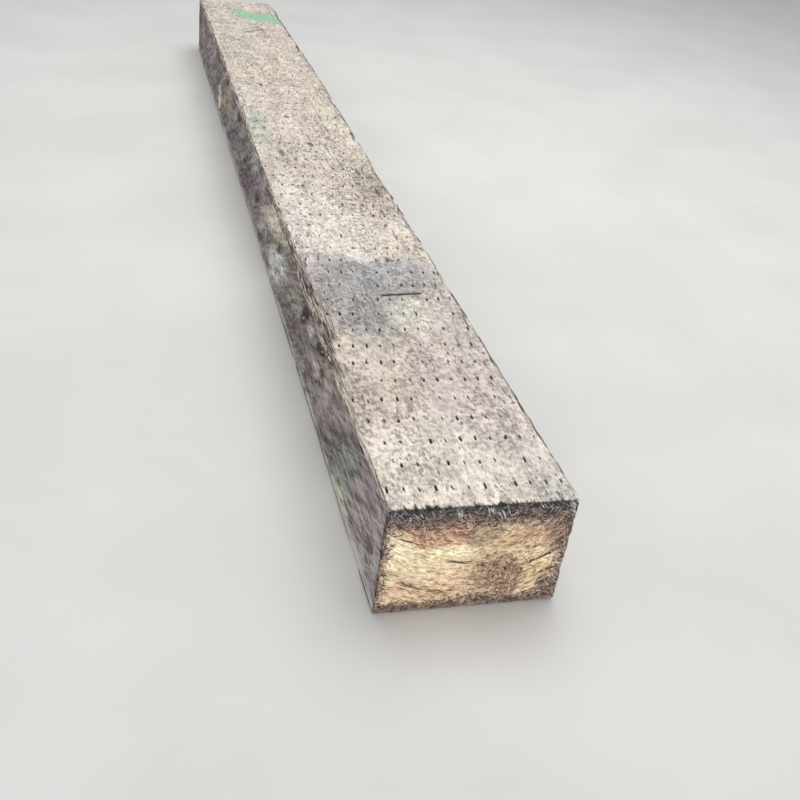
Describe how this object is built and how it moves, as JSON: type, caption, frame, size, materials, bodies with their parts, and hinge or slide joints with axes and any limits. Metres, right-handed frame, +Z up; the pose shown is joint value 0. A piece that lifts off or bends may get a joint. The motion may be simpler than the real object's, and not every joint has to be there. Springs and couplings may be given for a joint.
{
  "type": "railway sleeper",
  "caption": "Squared timber railway sleeper, incised along the grain for preservative, with worn upper arrises, drying checks and a newly sawn end.",
  "frame": {"origin": "middle of the underside's length and width, on the plane that it rests on", "axes": "+X along the grain, away from the newly sawn end; +Y across the timber, to the side with the worn upper arris; +Z up, from the underside to the top face"},
  "size_m": [2.6, 0.24, 0.16],
  "materials": {
    "treated_timber": "weathered grey-brown preservative-treated timber, matt, with a cream newly sawn end"
  },
  "bodies": {
    "root": {"sleeper": "treated_timber"}
  },
  "joints": []
}
